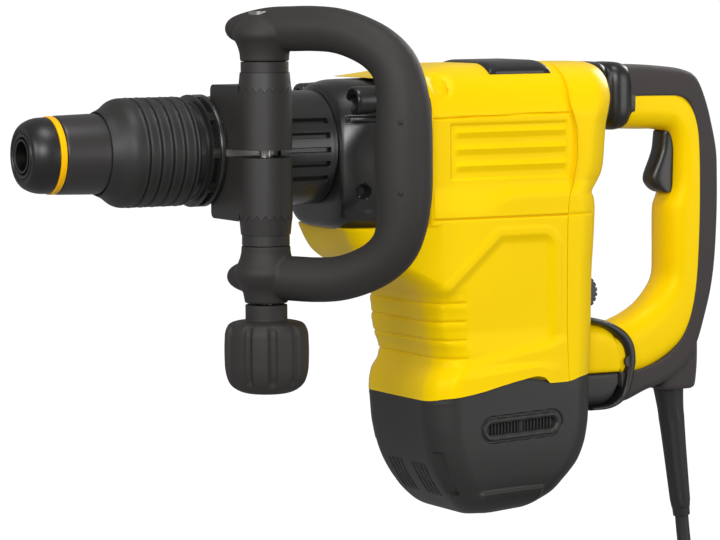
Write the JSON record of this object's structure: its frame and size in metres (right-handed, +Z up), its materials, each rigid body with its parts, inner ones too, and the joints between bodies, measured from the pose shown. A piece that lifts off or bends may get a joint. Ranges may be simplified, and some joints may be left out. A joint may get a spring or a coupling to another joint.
{
  "type": "demolition hammer",
  "caption": "Corded demolition hammer with an L-shaped body, a bow side handle on a toothed clamp, a sprung rear handle and a ribbed tool collar.",
  "frame": {"origin": "centre of the tool socket's mouth", "axes": "-X out of the socket along the hammer axis, +Z up with the motor hanging down, -Y towards the post of the bow handle"},
  "size_m": [0.51, 0.247, 0.4332],
  "materials": {
    "yellow_plastic": "satin moulded plastic",
    "ring_yellow": "satin moulded plastic",
    "gear_plastic": "satin black plastic",
    "motor_plastic": "fine-grained black plastic",
    "nose_rubber": "smooth black rubber",
    "collar_rubber": "matt black rubber",
    "sleeve_metal": "satin dark grey",
    "grip_plastic": "matt warm grey, fine grain",
    "grip_rubber": "matt soft grip",
    "seal_rubber": "black rubber",
    "cord_rubber": "black rubber sheath",
    "steel": "machined",
    "spring_steel": "oiled wire",
    "cast_alloy": "cast, blasted",
    "core_iron": "laminated",
    "copper": "turned",
    "carbon": "pressed carbon",
    "inner_plastic": "plain moulded plastic"
  },
  "bodies": {
    "housing": {"barrel": "cast_alloy", "neck_ring": "gear_plastic", "slotted_cover": "gear_plastic", "cylinder": "steel", "crank_bearings": "steel", "gear_case": "cast_alloy", "absorber_base": "cast_alloy", "absorber_springs": "spring_steel", "motor_bearings": "steel", "stator": "core_iron", "brush_frame": "inner_plastic", "carbon_brushes": "carbon", "nose_shell": "gear_plastic", "main_housing": "yellow_plastic", "rear_shell": "yellow_plastic", "motor_cap": "motor_plastic", "inlet_grilles": "motor_plastic", "top_cover": "motor_plastic", "housing_screws": "steel", "control_module": "inner_plastic", "handle_stub": "yellow_plastic", "pivot_pin": "steel", "joint_boot": "seal_rubber", "bellows": "seal_rubber", "damping_springs": "spring_steel"},
    "holder": {"nose_cap": "nose_rubber", "tool_holder": "steel", "locking_rollers": "steel", "index_collar": "collar_rubber", "release_spring": "spring_steel"},
    "sleeve": {"locking_sleeve": "sleeve_metal", "sleeve_ring": "ring_yellow"},
    "beat": {"beat_piece": "steel"},
    "striker": {"ram": "steel"},
    "drive_piston": {"piston": "cast_alloy", "wrist_pin": "steel"},
    "rod": {"connecting_rod": "steel"},
    "crank_shaft": {"crank": "steel", "crank_gear": "steel"},
    "armature": {"armature_shaft": "steel", "armature_core": "core_iron", "commutator": "copper", "cooling_fan": "inner_plastic"},
    "absorber": {"absorber_weight": "steel"},
    "dial": {"speed_dial": "motor_plastic"},
    "side_clamp": {"clamp_blocks": "grip_plastic", "clamp_band": "steel", "clamp_bolt": "steel", "toothed_spacers": "grip_plastic"},
    "bow": {"bow_handle": "grip_plastic", "post_rings": "grip_plastic"},
    "knob": {"clamp_knob": "grip_plastic"},
    "handle": {"handle_frame": "yellow_plastic", "handle_overmould": "grip_rubber", "switch_unit": "inner_plastic", "strain_relief": "seal_rubber", "cord_tube": "cord_rubber", "cord_coil": "cord_rubber", "plug": "cord_rubber"},
    "switch_trigger": {"trigger": "motor_plastic"}
  },
  "joints": [
    {"name": "holder_turn", "type": "hinge", "parent": "housing", "child": "holder", "pos_m": [0.08, 0, 0], "axis": [1, 0, 0], "continuous": true},
    {"name": "sleeve_release", "type": "slide", "parent": "holder", "child": "sleeve", "axis": [1, 0, 0], "range_m": [0, 0.012], "stiffness_N_per_m": 1500, "springref_m": -0.006, "deforming": ["release_spring"]},
    {"name": "beat_stroke", "type": "slide", "parent": "housing", "child": "beat", "axis": [1, 0, 0], "range_m": [-0.004, 0.0015]},
    {"name": "ram_stroke", "type": "slide", "parent": "housing", "child": "striker", "axis": [1, 0, 0], "range_m": [-0.003, 0.006]},
    {"name": "piston_stroke", "type": "slide", "parent": "housing", "child": "drive_piston", "axis": [1, 0, 0], "range_m": [0, 0.032]},
    {"name": "rod_swing", "type": "hinge", "parent": "drive_piston", "child": "rod", "pos_m": [0.228, 0, 0], "axis": [0, 0, 1], "range_deg": [-14, 14]},
    {"name": "armature_spin", "type": "hinge", "parent": "housing", "child": "armature", "pos_m": [0.338, 0, -0.1], "axis": [0, 0, 1], "continuous": true},
    {"name": "crank_turn", "type": "hinge", "parent": "housing", "child": "crank_shaft", "pos_m": [0.298, 0, -0.041], "axis": [0, 0, 1], "continuous": true},
    {"name": "absorber_shift", "type": "slide", "parent": "housing", "child": "absorber", "axis": [1, 0, 0], "range_m": [-0.008, 0.008], "stiffness_N_per_m": 4000, "deforming": ["absorber_springs"]},
    {"name": "dial_turn", "type": "hinge", "parent": "housing", "child": "dial", "pos_m": [0.3834, -0.0335, -0.1], "axis": [0, 1, 0], "range_deg": [-135, 135]},
    {"name": "clamp_turn", "type": "hinge", "parent": "housing", "child": "side_clamp", "pos_m": [0.141, 0, 0], "axis": [1, 0, 0], "continuous": true},
    {"name": "bow_turn", "type": "hinge", "parent": "side_clamp", "child": "bow", "pos_m": [0.141, -0.053, 0], "axis": [0, 0, 1], "range_deg": [-110, 10]},
    {"name": "knob_turn", "type": "hinge", "parent": "side_clamp", "child": "knob", "pos_m": [0.141, -0.053, -0.12], "axis": [0, 0, 1], "continuous": true},
    {"name": "handle_tilt", "type": "hinge", "parent": "housing", "child": "handle", "pos_m": [0.431, 0, -0.15], "axis": [0, 1, 0], "range_deg": [-2, 2], "stiffness_Nm_per_rad": 400, "deforming": ["bellows", "damping_springs", "joint_boot"]},
    {"name": "trigger_press", "type": "hinge", "parent": "handle", "child": "switch_trigger", "pos_m": [0.48, 0, -0.0015], "axis": [0, -1, 0], "range_deg": [0, 7], "stiffness_Nm_per_rad": 2.5, "springref_deg": -4.58}
  ],
  "couplings": [
    {"joint": "crank_turn", "follows": "armature_spin", "ratio": -0.20968}
  ]
}
